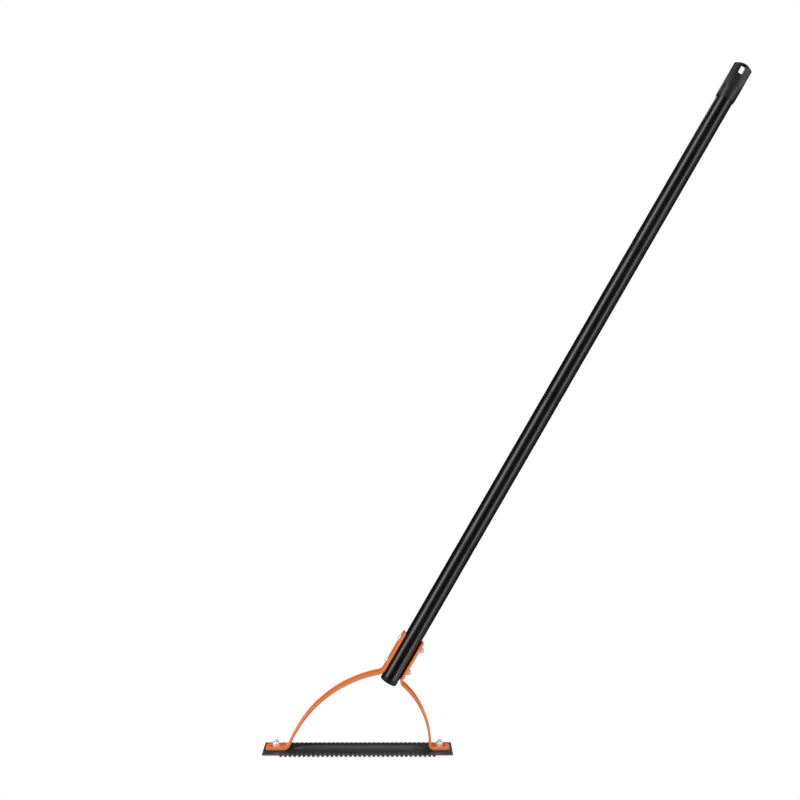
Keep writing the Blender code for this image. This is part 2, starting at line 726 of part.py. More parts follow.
def add_hang_cap():
    cap = turned("hang_cap", cap_profile(), BLACK_PLASTIC)
    place(cap, (0, 0, HANDLE_LENGTH), (0, 0, 0), HANDLE_AXIS)
    for side, turn in ((1, math.pi / 2), (-1, -math.pi / 2)):
        bm = outline_mesh("cheek_outline", cheek_outline(), CAP_RADIUS * 2.4)
        bmesh.ops.recalc_face_normals(bm, faces=bm.faces)
        tool = cutter("cheek_tool", bm)
        combine(cap, place(tool, (0, 0, HANDLE_LENGTH), (math.pi / 2, 0, turn), HANDLE_AXIS))
    middle = HANDLE_LENGTH + CAP_LENGTH - HANG_SLOT_BRIDGE - HANG_SLOT_LENGTH / 2
    bm = bmesh.new()
    bmesh.ops.create_cube(bm, size=1, matrix=Matrix.Diagonal((
        HANG_SLOT_WIDTH, CAP_RADIUS * 2, HANG_SLOT_LENGTH, 1)))
    through = [e for e in bm.edges if abs(e.verts[0].co.y - e.verts[1].co.y) > CAP_RADIUS]
    bmesh.ops.bevel(
        bm, geom=through, offset=HANG_SLOT_ROUND, segments=3, profile=0.5, affect="EDGES")
    slot = cutter("hang_slot_tool", bm)
    combine(cap, place(slot, (0, 0, middle), (0, 0, 0), HANDLE_AXIS))


clear_scene()
PARTS = new_collection("grass_whip")
CUTTERS = new_collection("cutters")
HANDLE_AXIS = add_handle_axis()
CLAMP_DRILLS = add_clamp_drills()
add_blade()
add_arm("left_arm", -1, LEFT_ARM_RADIUS, LEFT_BEND_X)
add_arm("right_arm", 1, RIGHT_ARM_RADIUS, RIGHT_BEND_X)
add_blade_fasteners()
add_clamp_fasteners()
add_tubes()
add_end_plug()
add_screwed_joints()
add_hang_cap()
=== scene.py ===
"""Looks of a long-handled grass whip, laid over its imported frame.

Metres, +Z up. X runs along the blade and Y across it. Every visible piece is a surface worked
out with numpy from the tool's own sizes, in the place that its solid holds.
"""

import math

import bmesh
import bpy
import numpy as np
from mathutils import Matrix, Vector


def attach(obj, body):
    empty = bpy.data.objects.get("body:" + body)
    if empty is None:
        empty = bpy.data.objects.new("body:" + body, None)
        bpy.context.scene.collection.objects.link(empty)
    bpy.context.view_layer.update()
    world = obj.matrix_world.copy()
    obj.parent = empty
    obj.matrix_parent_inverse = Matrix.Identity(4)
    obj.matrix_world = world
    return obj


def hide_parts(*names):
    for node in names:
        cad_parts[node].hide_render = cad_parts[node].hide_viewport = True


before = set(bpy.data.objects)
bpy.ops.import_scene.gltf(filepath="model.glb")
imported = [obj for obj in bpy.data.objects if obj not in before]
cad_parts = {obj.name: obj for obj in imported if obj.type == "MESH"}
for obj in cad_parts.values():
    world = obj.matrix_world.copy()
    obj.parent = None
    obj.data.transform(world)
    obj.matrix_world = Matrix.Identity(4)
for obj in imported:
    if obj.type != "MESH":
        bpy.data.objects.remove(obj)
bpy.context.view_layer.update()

MM = 0.001

# Handle axis: its foot, lean and tube
LEAN = math.radians(30.0)
UP_HANDLE = Vector((math.sin(LEAN), 0, math.cos(LEAN)))
ACROSS_HANDLE = Vector((math.cos(LEAN), 0, -math.sin(LEAN)))
FOOT_LIFT = 125.5 * MM
FOOT_X = -14.0 * MM + FOOT_LIFT * math.sin(LEAN)
FOOT_Z = 3.4 * MM + FOOT_LIFT * math.cos(LEAN)
TUBE_RADIUS = 14.3 * MM
TUBE_BORE_RADIUS = 13.3 * MM
HANDLE_LENGTH = 1087.0 * MM
LOWER_SECTION = 254.0 * MM
JOINTS = LOWER_SECTION + (HANDLE_LENGTH - LOWER_SECTION) / 3 * np.arange(3)
TUBES = ("lower_tube", "lower_middle_tube", "upper_middle_tube", "top_tube")

# Inserts: collar, spigot above it, core below it, and the plug's skirt
COLLAR_HALF = 9.0 * MM
SPIGOT_RADIUS = 8.8 * MM
SPIGOT_END = 31.0 * MM
CORE_RADIUS = 13.0 * MM
CORE_END = 33.0 * MM
PLUG_SKIRT = 8.5 * MM

# Clearance of every seat
GAP = 0.3 * MM

# Blade
BLADE_HALF_LENGTH = 152.5 * MM
BLADE_HALF_WIDTH = 26.0 * MM
BLADE_UNDER = 2.5 * MM
BLADE_THICKNESS = 1.8 * MM
TOOTH_PITCH = 7.4 * MM
TOOTH_COUNT = 34
TOOTH_DEPTH = 3.6 * MM
TOOTH_PROUD = 3.0 * MM
TOOTH_DROOP = 1.6 * MM
TOOTHED_HALF = TOOTH_COUNT * TOOTH_PITCH / 2
GULLET_LINE = BLADE_HALF_WIDTH + TOOTH_PROUD - TOOTH_DEPTH
STATIONS_PER_TOOTH = 18
EDGE_CHAMFER = 0.3 * MM
THINNEST = 0.15 * MM
GROOVE_DEPTH = 2.5 * MM
GROOVE_HALF_LENGTH = 105.0 * MM
GROOVE_HALF_WIDTH = 10.0 * MM
GROOVE_POINT = 17.0 * MM
NOSE_SHARE = 0.7324  # of the point, over which the keel falls to its full depth
KEEL_HALF_WIDTH = 1.5 * MM
FLUTE_RADIUS = 2.5 * MM
FLUTE_WHEEL = 6.0 * MM
FLUTE_DEEPEST = 2.4 * MM
FLUTE_FLOOR = 0.65 * MM

# Straps
STRAP_HALF_WIDTH = 11.0 * MM
STRAP_HALF_THICKNESS = 2.0 * MM
STRAP_ROUND = 0.6 * MM
STRAP_OFFSET = 16.6 * MM
CLAMP_START = 10.0 * MM
CLAMP_END = 83.0 * MM
TAB_Z = 6.6 * MM
TAB_END = 148.0 * MM
BEND_REACH = 6.0 * MM
TAB_CORNER = 4.0 * MM
CLAMP_CORNER = 1.5 * MM
SLOT_HALF_WIDTH = 3.3 * MM
SLOT_LENGTH = 12.5 * MM
NO_OPENING = 0.05 * MM
STRAP_STEP = 0.9 * MM
STRAIGHT_POINTS = 60
BEND_POINTS = 40
BOW_POINTS = 400
LEFT_BOW = (196.0 * MM, -113.0 * MM)  # radius, and x of the bend into the tab
RIGHT_BOW = (128.0 * MM, 116.5 * MM)

# Fasteners: M6 through blade and tabs, M5 through straps and tube. A thread ends at
# end_above_seat over its nut's seat.
BLADE_BOLT_X = 132.0 * MM
CLAMP_BOLTS = (29.5 * MM, 70.5 * MM)
THREAD_DEPTH = 0.32 * MM
BLADE_SET = {
    "screw": {"radius": 3.0 * MM, "head_radius": 5.5 * MM, "head_height": 2.2 * MM,
              "pitch": 1.0 * MM},
    "washer": {"radius": 6.0 * MM, "thickness": 1.2 * MM, "hole": 3.2 * MM},
    "nut": {"flats": 10.0 * MM, "thickness": 5.0 * MM, "hole": 3.05 * MM},
    "end_above_seat": 8.5 * MM}
CLAMP_SET = {
    "screw": {"radius": 2.5 * MM, "head_radius": 4.8 * MM, "head_height": 2.8 * MM,
              "pitch": 0.8 * MM},
    "washer": {"radius": 5.0 * MM, "thickness": 1.0 * MM, "hole": 2.7 * MM},
    "nut": {"flats": 8.0 * MM, "thickness": 4.0 * MM, "hole": 2.55 * MM},
    "end_above_seat": 6.0 * MM}

# Cap
CAP_LENGTH = 67.3 * MM
CAP_RADIUS = 16.0 * MM
CAP_DOME = 4.9 * MM
CAP_BORE_DEPTH = 18.0 * MM
CAP_BORE_RADIUS = 14.6 * MM
WEB_HALF = 4.75 * MM
CHEEK_TOP = 48.3 * MM
CHEEK_RUN = 34.0 * MM
CHEEK_CROWN = 27.0 * MM
CAP_LIP = 0.9 * MM
HANG_SLOT_MIDDLE = 56.9 * MM
HANG_SLOT_HALF_LENGTH = 8.0 * MM
HANG_SLOT_HALF_WIDTH = 3.85 * MM
CAP_SLOT_ROUND = 0.9 * MM

# Colours, as linear values
ORANGE_DEEP = (0.74, 0.172, 0.036)
ORANGE_BRIGHT = (0.80, 0.205, 0.048)
ORANGE_RUBBED = (0.93, 0.38, 0.14)
COAT_DEEP = (0.0016, 0.0016, 0.0016)
COAT_WORN = (0.0030, 0.0029, 0.0029)
COAT_SCRATCHED = (0.03, 0.03, 0.031)
STEEL_DEEP = (0.012, 0.0118, 0.0122)
STEEL_WORN = (0.018, 0.0177, 0.0183)
STEEL_SCRATCHED = (0.10, 0.10, 0.10)
# lighter steel for the groove's shoulders: rubbed, and a painted highlight along the creases
STEEL_RUB_AND_HIGHLIGHT = (0.085, 0.085, 0.087)
STEEL_GROUND = (0.105, 0.105, 0.108)
# lighter steel for a painted highlight along the blade's rim
STEEL_RIM_HIGHLIGHT = (0.20, 0.20, 0.20)
ZINC_DULL = (0.84, 0.85, 0.86)
ZINC_CLEAN = (0.92, 0.925, 0.93)
ZINC_RUBBED = (0.94, 0.94, 0.93)
# near black for painted shade in bolt sockets and thread roots
RECESS_SHADE = (0.03, 0.028, 0.026)
WHITE = (1.0, 1.0, 1.0, 1.0)

# Stage
FLOOR_LEVEL = -0.2 * MM
FLOOR_SIDES = (-0.40, 0.27, -0.12, 0.5)  # left, right, front and back
FLOOR_GLOW = 0.85
SURROUND_LIGHT = 0.4
DARK_WALL_PROFILE = [(0.01, -4.0), (4.5, -4.0), (4.5, 10.0)]
STRIP_DISTANCE = 2.0
STRIPS = (  # name, degrees round from the front, rise up the handle, size, power
    ("left_strip", -60.0, 0.15, (0.75, 3.2), 42.0),
    ("right_strip", 44.0, 0.575, (0.65, 4.05), 30.0),
    ("side_strip", 80.0, 1.1, (0.6, 5.2), 5.5))
LAMPS = (  # name, place, target, size, power
    ("cap_soft", (2.4, -0.2, 2.0), (0.63, 0.0, 1.09), (0.9, 0.9), 5.0),
    ("top_soft", (0.6, 2.0, 2.8), (0.0, 0.0, 0.0), (1.4, 1.4), 20.0))
LENS = 43.8
SHIFT = (0.02, -0.03)
CAMERA_PLACE = (0.035, -1.575, 0.609)
CAMERA_TURN = (89.92, -0.04, -0.25)  # degrees


# Surfaces
def sheet(points, wrap_rows=False, wrap_columns=False):
    """Quads over an array of (rows, columns) points, which may close on itself either way.

    The quad at (i, j) joins points (i, j), (i+1, j), (i+1, j+1) and (i, j+1).
    """
    rows, columns = points.shape[:2]
    index = np.arange(rows * columns).reshape(rows, columns)
    if wrap_rows:
        index = np.vstack([index, index[:1]])
    if wrap_columns:
        index = np.hstack([index, index[:, :1]])
    corners = (index[:-1, :-1], index[1:, :-1], index[1:, 1:], index[:-1, 1:])
    return points.reshape(-1, 3), np.stack(corners, axis=-1).reshape(-1, 4)


def fillet(profile, radius, steps=4):
    """Round the inner corners of a polyline, and hold the flat on each side of them.

    With a and b the unit directions from a corner P to its neighbours, the corner becomes
    (1-t)^2 (P + a r) + 2 t (1-t) P + t^2 (P + b r), with one more point at 1.6 r each way.
    r is the radius, or 0.3 of the shorter side beside the corner where that is less.
    """
    points = np.asarray(profile, float)
    corner = points[1:-1]
    back = points[:-2] - corner
    ahead = points[2:] - corner
    back_length = np.linalg.norm(back, axis=1, keepdims=True)
    ahead_length = np.linalg.norm(ahead, axis=1, keepdims=True)
    reach = np.minimum(radius, 0.3 * np.minimum(back_length, ahead_length))
    step_back = (back / back_length * reach)[:, None]
    step_ahead = (ahead / ahead_length * reach)[:, None]
    middle = corner[:, None]
    t = np.linspace(0, 1, steps)[None, :, None]
    curve = middle + (1 - t) ** 2 * step_back + t ** 2 * step_ahead
    rows = np.concatenate([middle + 1.6 * step_back, curve, middle + 1.6 * step_ahead], axis=1)
    return np.vstack([points[:1], rows.reshape(-1, 2), points[-1:]])


def ring(radius, height, sides):
    """Points (r cos a, r sin a, z) for each row and each of the angles a round the axis.

    Radius and height are a number for each row, or an array of (rows, sides).
    """
    angle = np.linspace(0, math.tau, sides, endpoint=False)
    radius = np.asarray(radius, float)
    height = np.asarray(height, float)
    radius = radius[:, None] if radius.ndim == 1 else radius
    height = height[:, None] if height.ndim == 1 else height
    radius, height, angle = np.broadcast_arrays(radius, height, angle)
    return np.stack([radius * np.cos(angle), radius * np.sin(angle), height], axis=-1)


def turned(profile, sides=96):
    """A surface of revolution from a profile of (radius, height) points."""
    radius, height = np.asarray(profile, float).T
    return ring(radius, height, sides)


def on_handle(points, along=0.0):
    """Move points from the handle's axes, with Z up the handle, into the world.

    x = foot + X cos(lean) + Z sin(lean), z = foot - X sin(lean) + Z cos(lean).
    """
    x, y, z = np.moveaxis(points, -1, 0)
    z = z + along
    return np.stack([
        FOOT_X + x * math.cos(LEAN) + z * math.sin(LEAN),
        y,
        FOOT_Z - x * math.sin(LEAN) + z * math.cos(LEAN)], axis=-1)


def across_handle(points, along):
    """Lay a fastener that was turned about Z along the handle's X, through a station."""
    x, y, z = np.moveaxis(points, -1, 0)
    return on_handle(np.stack([z, y, -x], axis=-1), along)


def lifted(points, x=0.0, z=0.0):
    """Shift points by x and z."""
    return points + np.array([x, 0.0, z])


def soft_min(first, second, width):
    """The smaller of two arrays, with the crease between them rounded over a width.

    min(a, b) - w/4 max(0, 1 - |a - b| / w)^2.
    """
    meet = np.maximum(0.0, 1 - np.abs(first - second) / width)
    return np.minimum(first, second) - width / 4 * meet ** 2


def new_object(name, data):
    """An object at the origin, in the scene."""
    item = bpy.data.objects.new(name, data)
    bpy.context.scene.collection.objects.link(item)
    return item


def piece(name, sheets, material, nodes, masks=None):
    """Weld sheets of quads into one closed smooth piece that stands for its solids."""
    starts = np.cumsum([0] + [len(points) for points, _ in sheets])
    points = np.vstack([points for points, _ in sheets])
    quads = np.vstack([faces + start for (_, faces), start in zip(sheets, starts)])
    mesh = bpy.data.meshes.new(name)
    mesh.vertices.add(len(points))
    mesh.vertices.foreach_set("co", points.ravel())
    mesh.loops.add(quads.size)
    mesh.loops.foreach_set("vertex_index", quads.ravel())
    mesh.polygons.add(len(quads))
    mesh.polygons.foreach_set("loop_start", np.arange(0, quads.size, 4))
    mesh.update(calc_edges=True)
    for mask, values in (masks or {}).items():
        layer = mesh.attributes.new(mask, "FLOAT", "POINT")
        layer.data.foreach_set("value", np.asarray(values, float).ravel())
    weld(mesh)
    item = new_object(name, mesh)
    mesh.materials.append(material)
    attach(item, "root")
    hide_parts(*nodes)
    return item


def weld(mesh):
    """Merge doubles, close open ends with flat faces and turn every face outwards."""
    bm = bmesh.new()
    bm.from_mesh(mesh)
    bmesh.ops.remove_doubles(bm, verts=bm.verts, dist=0.000002)
    bmesh.ops.dissolve_degenerate(bm, edges=bm.edges, dist=0.000001)
    for face in bm.faces:
        face.smooth = True
    rim = [edge for edge in bm.edges if edge.is_boundary]
    if rim:
        bmesh.ops.holes_fill(bm, edges=rim, sides=0)
    bmesh.ops.recalc_face_normals(bm, faces=bm.faces)
    bm.to_mesh(mesh)
    bm.free()


# Split bars: a bar whose section opens in the middle into a slot
def half_section(width, height, opening, rounding):
    """One half of a bar's section, as a loop from the slot over the top and back below.

    Each argument is a column of values, one for each station. Corners are quarter circles
    of the rounding, and the slot's own edges shrink with it: f = min(rounding, opening / 2).
    """
    turn = np.linspace(0, math.pi / 2, 4)
    inner = np.minimum(rounding, opening * 0.5)
    share = np.array([0.06, 0.3, 0.7, 0.94])
    across = np.hstack([
        opening + inner * (1 - np.cos(turn)),
        opening + inner + (width - rounding - opening - inner) * share,
        width - rounding + rounding * np.sin(turn)])
    up = np.hstack([
        height - inner * (1 - np.sin(turn)),
        height + 0 * share,
        height - rounding * (1 - np.cos(turn))])
    return np.hstack([across, across[:, ::-1]]), np.hstack([up, -up[:, ::-1]])


def split_sheets(place, across, up, opening):
    """Both halves of a split bar, with slot walls only at the stations where it is open.

    place turns (across, up) arrays of (stations, points) into world points.
    """
    sheets = []
    is_open = (opening[:-1, 0] > 0) | (opening[1:, 0] > 0)
    for side in (-1, 1):
        points = place(side * across, up)
        sheets.append(sheet(points))
        stations, columns = points.shape[:2]
        index = np.arange(stations * columns).reshape(stations, columns)
        wall = np.stack([
            index[:-1, -1], index[1:, -1], index[1:, 0], index[:-1, 0]], axis=-1)[is_open]
        sheets.append((points.reshape(-1, 3), wall))
    return sheets


# Straps
def along_arc(centre, radius, start, end, count):
    """Points centre + r (cos a, sin a) with a running from start to end."""
    angle = np.linspace(start, end, count)
    return centre + radius * np.stack([np.cos(angle), np.sin(angle)], axis=-1)


def smooth_bend(entry, inward, leave, outward):
    """Cubic from entry to leave: (1-t)^3 A + 3t(1-t)^2 B + 3t^2(1-t) C + t^3 D."""
    pull = BEND_REACH * 0.6
    t = np.linspace(0, 1, BEND_POINTS)[1:-1, None]
    first = entry + inward * pull
    second = leave - outward * pull
    return (
        (1 - t) ** 3 * entry + 3 * t * (1 - t) ** 2 * first
        + 3 * t ** 2 * (1 - t) * second + t ** 3 * leave)


def handle_spot(along, across):
    """The (x, z) of a point so far up the handle's axis and so far across it."""
    return np.array([
        FOOT_X + across * math.cos(LEAN) + along * math.sin(LEAN),
        FOOT_Z - across * math.sin(LEAN) + along * math.cos(LEAN)])


def strap_line(side, radius, bend_x):
    """The strap's middle line in (x, z): clamp, bend, circular bow, bend, tab.

    The bow's centre lies below its chord, by sqrt(radius^2 - (chord / 2)^2).
    """
    top = handle_spot(CLAMP_END, side * STRAP_OFFSET)
    corner = handle_spot(CLAMP_START, side * STRAP_OFFSET)
    foot = np.array([bend_x, TAB_Z])
    end = np.array([side * TAB_END, TAB_Z])
    chord = foot - corner
    length = np.linalg.norm(chord)
    normal = np.array([chord[1], -chord[0]]) / length
    normal = normal if normal[1] < 0 else -normal
    centre = (corner + foot) / 2 + normal * math.sqrt(radius ** 2 - (length / 2) ** 2)
    first = math.atan2(*(corner - centre)[::-1])
    last = math.atan2(*(foot - centre)[::-1])
    swing = (last - first + math.pi) % math.tau - math.pi
    inset = math.copysign(BEND_REACH / radius, swing)
    bow = along_arc(centre, radius, first + inset, first + swing - inset, BOW_POINTS)
    way = math.copysign(1, swing)
    tangent = way * np.stack([-(bow - centre)[:, 1], (bow - centre)[:, 0]], axis=-1) / radius
    down = (corner - top) / np.linalg.norm(corner - top)
    outward = np.array([float(side), 0.0])
    clamp = np.linspace(top, corner - down * BEND_REACH, STRAIGHT_POINTS)
    tab = np.linspace(foot + outward * BEND_REACH, end, STRAIGHT_POINTS)
    return np.vstack([
        clamp,
        smooth_bend(clamp[-1], down, bow[0], tangent[0]),
        bow,
        smooth_bend(bow[-1], tangent[-1], tab[0], outward),
        tab])


def end_round(distance, size, rounding):
    """Half size near a rounded end: size - r + sqrt(r^2 - (r - d)^2) within r of it."""
    near = np.clip(rounding - distance, 0, rounding)
    return size - rounding + np.sqrt(rounding ** 2 - near ** 2)


def strap(name, side, radius, bend_x, material):
    """A flat bar carried along its line, with rounded ends and a slot in its tab."""
    line = strap_line(side, radius, bend_x)
    travelled = np.concatenate([[0], np.cumsum(np.linalg.norm(np.diff(line, axis=0), axis=1))])
    total = travelled[-1]
    quarter = 1 - np.cos(np.linspace(0, math.pi / 2, 9))
    slot_in = total - (TAB_END - BLADE_BOLT_X) - SLOT_HALF_WIDTH
    slot_out = slot_in + SLOT_LENGTH
    station = np.unique(np.round(np.concatenate([
        np.arange(0, total, STRAP_STEP),
        quarter * TAB_CORNER, total - quarter * TAB_CORNER,
        quarter * STRAP_ROUND, total - quarter * STRAP_ROUND,
        slot_in + quarter * SLOT_HALF_WIDTH, slot_out - quarter * SLOT_HALF_WIDTH,
        [total]]), 6))
    middle = np.stack([np.interp(station, travelled, line[:, i]) for i in (0, 1)], axis=-1)
    slope = np.gradient(line, axis=0)
    slope = np.stack([np.interp(station, travelled, slope[:, i]) for i in (0, 1)], axis=-1)
    slope /= np.linalg.norm(slope, axis=1, keepdims=True)
    normal = np.stack([-slope[:, 1], slope[:, 0]], axis=-1) * -side
    to_end = total - station
    width = np.minimum(
        end_round(to_end, STRAP_HALF_WIDTH, TAB_CORNER),
        end_round(station, STRAP_HALF_WIDTH, CLAMP_CORNER))
    height = end_round(np.minimum(to_end, station), STRAP_HALF_THICKNESS, STRAP_ROUND)
    from_centres = np.maximum(
        np.maximum(slot_in + SLOT_HALF_WIDTH - station, station - slot_out + SLOT_HALF_WIDTH), 0)
    opening = np.sqrt(np.maximum(SLOT_HALF_WIDTH ** 2 - from_centres ** 2, 0))
    opening[opening < NO_OPENING] = 0
    opening = opening[:, None]
    across, up = half_section(width[:, None], height[:, None], opening, STRAP_ROUND)

    def place(across, up):
        """Carry a section to its stations: middle line + up times its normal."""
        x = middle[:, :1] + normal[:, :1] * up
        z = middle[:, 1:] + normal[:, 1:] * up
        return np.stack([x, across, z], axis=-1)

    sheets = split_sheets(place, across, up, opening)
    return piece(name + "_strap", sheets, material, [name])


# Blade
def edge_line(x):
    """Half width at x: scallops crest - depth ((1 + cos(2 pi n)) / 2)^1.7, and plain ends."""
    phase = (x + TOOTHED_HALF) / TOOTH_PITCH
    crest = BLADE_HALF_WIDTH + TOOTH_PROUD
    teeth = crest - TOOTH_DEPTH * ((1 + np.cos(math.tau * phase)) / 2) ** 1.7
    return np.where(np.abs(x) <= TOOTHED_HALF, teeth, BLADE_HALF_WIDTH)


def groove_walls(x, y):
    """Drop of the groove's walls and pointed ends as planes, above zero inside its outline."""
    x = np.abs(x)
    y = np.abs(y)
    wall = GROOVE_DEPTH * (GROOVE_HALF_WIDTH - y) / (GROOVE_HALF_WIDTH - KEEL_HALF_WIDTH)
    nose = GROOVE_DEPTH / NOSE_SHARE * (
        (GROOVE_HALF_LENGTH - x) / GROOVE_POINT - y / GROOVE_HALF_WIDTH)
    return soft_min(wall, nose, 0.35 * MM)


def groove_drop(x, y):
    """How far the pressed groove lies below the flanges.

    The least of the two side walls, the two pointed ends and the flat keel, all planes,
    with the creases between them rounded as a press leaves them.
    """
    lowest = soft_min(groove_walls(x, y), GROOVE_DEPTH + 0 * y, 0.2 * MM)
    return -soft_min(-lowest, 0 * y, 0.25 * MM)


def tooth_fall(x, y):
    """How far a tooth is folded down at (x, y), past the line through the gullets.

    p^2 / (p + 0.3 mm) x droop / depth, at a distance p past the line.
    """
    past = np.maximum(np.abs(y) - GULLET_LINE, 0)
    eased = past ** 2 / (past + 0.3 * MM)
    return np.where(np.abs(x) < TOOTHED_HALF, eased * TOOTH_DROOP / TOOTH_DEPTH, 0)


def flute_height(x, y):
    """Height of the grinding wheel over the blade's underside, at each gullet.

    The wheel's arc W - sqrt(W^2 - a^2) at a distance a from its lowest point, which lies in
    from the gullet, plus its rounded tread R - sqrt(R^2 - d^2) at a distance d aside.
    """
    number = np.round(np.clip((x + TOOTHED_HALF) / TOOTH_PITCH, 0, TOOTH_COUNT))
    aside = np.minimum(np.abs(x - (number * TOOTH_PITCH - TOOTHED_HALF)), FLUTE_RADIUS)
    along = np.clip(GULLET_LINE - FLUTE_DEEPEST - np.abs(y), -FLUTE_WHEEL, FLUTE_WHEEL)
    arc = FLUTE_WHEEL - np.sqrt(FLUTE_WHEEL ** 2 - along ** 2)
    tread = FLUTE_RADIUS - np.sqrt(FLUTE_RADIUS ** 2 - aside ** 2)
    return FLUTE_FLOOR + arc + tread


def blade(material):
    """The blade as one closed loop of points at each station along X.

    Three masks lie on its upper face: the groove's shoulders, rubbed and lightened as a painted
    highlight, the ground flutes, and the rim, partly ground bare and lightened as a painted
    highlight.
    """
    past_teeth = TOOTHED_HALF + 0.02 * MM + np.linspace(0, 1, 5) * (
        BLADE_HALF_LENGTH - TOOTHED_HALF - 0.4 * MM)
    tip = BLADE_HALF_LENGTH - np.array([0.3, 0.12, 0]) * MM
    station = np.unique(np.round(np.concatenate([
        np.linspace(-TOOTHED_HALF, TOOTHED_HALF, TOOTH_COUNT * STATIONS_PER_TOOTH + 1),
        past_teeth, -past_teeth, tip, -tip]), 7))
    top_half = np.array([
        0, 0.9, 1.3, 1.6, 2.1, 4, 6, 8, 9.2, 9.7, 10.1, 10.6, 12, 14, 16, 18, 19, 19.6, 20.2,
        20.8, 21.4, 22, 22.6, 23.2, 23.8, 24.4, 24.9, 25.3, 25.6, 25.8, 25.92, 26]) * MM
    under_half = np.array([0, 1.3, 1.7, 5, 9.5, 10.3, 14, 20, 23, 24, 25, 26]) * MM
    top_line = np.concatenate([-top_half[:0:-1], top_half])
    under_line = np.concatenate([under_half[::-1], -under_half[1:]])
    edge = edge_line(station)[:, None]
    x = station[:, None]

    def spread(line):
        """Slide the outer lines sideways with the toothed edge, and leave the rest straight."""
        middle = BLADE_HALF_WIDTH / 2
        t = np.clip((np.abs(line) - middle) / middle, 0, 1)
        return line + np.sign(line) * t * t * (3 - 2 * t) * (edge - BLADE_HALF_WIDTH)

    top_y = spread(top_line[None])
    under_y = spread(under_line[None])
    under_z = BLADE_UNDER - groove_drop(x, under_y) - tooth_fall(x, under_y)
    floor = BLADE_UNDER - groove_drop(x, top_y) - tooth_fall(x, top_y)
    ground = flute_height(x + 0 * top_y, top_y) + tooth_fall(x, top_y)
    full = BLADE_THICKNESS + 0 * top_y
    to_rim = np.minimum(BLADE_HALF_LENGTH - np.abs(x), edge - np.abs(top_y))
    chamfer = np.clip(EDGE_CHAMFER - to_rim, 0, EDGE_CHAMFER)
    thickness = np.maximum(soft_min(full, ground, 0.08 * MM) - chamfer, THINNEST)
    shape = np.hstack([
        np.stack([x + 0 * top_y, top_y, floor + thickness], axis=-1),
        np.stack([x + 0 * under_y, under_y, under_z], axis=-1)])
    # shoulder mask: along the groove's creases, where rubbing and a painted highlight lighten
    # the steel
    shoulder = np.exp(-(groove_walls(x, top_y) / (0.32 * MM)) ** 2)
    cut = np.clip((full - ground) / (0.15 * MM), 0, 1)
    # painted highlight along the rim, also laid at 0.6 into the ground mask as bare steel
    painted_rim_highlight = np.clip((0.6 * MM - to_rim) / (0.5 * MM), 0, 1)
    masks = {name: np.hstack([mask, 0 * under_y]) for name, mask in (
        ("shoulder", shoulder), ("ground", np.maximum(cut, painted_rim_highlight * 0.6)), ("rim", painted_rim_highlight))}
    return piece("toothed_blade", [sheet(shape, wrap_columns=True)], material,
                 ["blade"], masks)


# Fasteners
def hexagon(flats, sides):
    """Radius of a hexagon at each angle: (f / 2) / cos(a), a from the nearest flat."""
    angle = np.linspace(0, math.tau, sides, endpoint=False)
    return flats / 2 / np.cos((angle + math.pi / 6) % (math.pi / 3) - math.pi / 6)


def thread_rows(radius, low, high, pitch, sides):
    """Rows from high to low of a screw thread: r - depth |2 frac(z/p - a/2pi) - 1|.

    The last factor is stretched by 1.3 and cut at 0 and 1, for small flats at crest and root.
    """
    height = np.arange(high, low, -pitch / 10)[:, None]
    angle = np.linspace(0, 1, sides, endpoint=False)[None]
    phase = (height / pitch - angle) % 1
    groove = THREAD_DEPTH * np.clip(np.abs(2 * phase - 1) * 1.3 - 0.15, 0, 1)
    return radius - groove, height + 0 * angle


def screw(radius, head_radius, head_height, pitch, low, high, sides=48):
    """A bolt about Z: chamfered threaded end, shank, domed head and hexagon socket.

    The head's underside is at low and the threaded end at high. The second result is a mask
    of painted shade, darker at the thread's roots and deep in the socket.
    """
    lead = 0.7 * MM
    shank = radius - 0.2 * MM
    crown = low - head_height
    column = np.ones((1, sides))
    thread, height = thread_rows(radius, low + 4.0 * MM, high - lead, pitch, sides)
    end = fillet([(0, high), (radius - 0.6 * MM, high), (shank, high - lead)], 0.15 * MM, 3)
    head = fillet([
        (shank, low + 3.6 * MM), (shank, low), (head_radius, low),
        (head_radius, low - head_height * 0.3),
        (head_radius * 0.86, low - head_height * 0.78),
        (head_radius * 0.62, crown), (radius * 0.68, crown)], 0.35 * MM)
    wall = hexagon(radius * 1.08, sides)[None]
    floor = low - head_height * 0.42
    socket = np.vstack([wall, wall * 0.98, wall * 0.94, wall * 0])
    socket_z = np.array([crown + 0.05 * MM, crown + 0.25 * MM, floor, floor])[:, None] * column
    # painted shade, darker deeper into the socket
    socket_shade = np.array([0.2, 0.9, 1.0, 1.0])[:, None] * column
    end_r, end_z = end.T[:, :, None] * column
    head_r, head_z = head.T[:, :, None] * column
    radii = np.vstack([end_r, thread, head_r, socket])
    heights = np.vstack([end_z, height, head_z, socket_z])
    # painted shade in the thread's roots
    root_shade = (radius - thread) / THREAD_DEPTH * 0.5
    recess_shade = np.vstack([0 * end_r, root_shade, 0 * head_r, socket_shade])
    return ring(radii, heights, sides), recess_shade


def nut(flats, thickness, hole, sides=60):
    """A hexagon nut on Z zero, its lower half mirrored to the upper.

    Cones turn the corners down, by 0.62 times how far a corner stands out past the flats.
    """
    column = np.ones((1, sides))
    side = hexagon(flats, sides)[None]
    drop = (side - flats / 2) * 0.62
    rim = flats / 2 * 0.955
    land = 0.12 * MM
    chamfer = 0.35 * MM
    radii = np.vstack([
        hole * column, (hole + chamfer) * column, rim * column, (rim + land) * column,
        side - land, side])
    heights = np.vstack([
        chamfer * column, 0 * column, 0 * column, 0.03 * MM * column,
        drop + land * 0.3, drop + land * 1.6])
    return ring(np.vstack([radii, radii[::-1]]),
                np.vstack([heights, thickness - heights[::-1]]), sides)


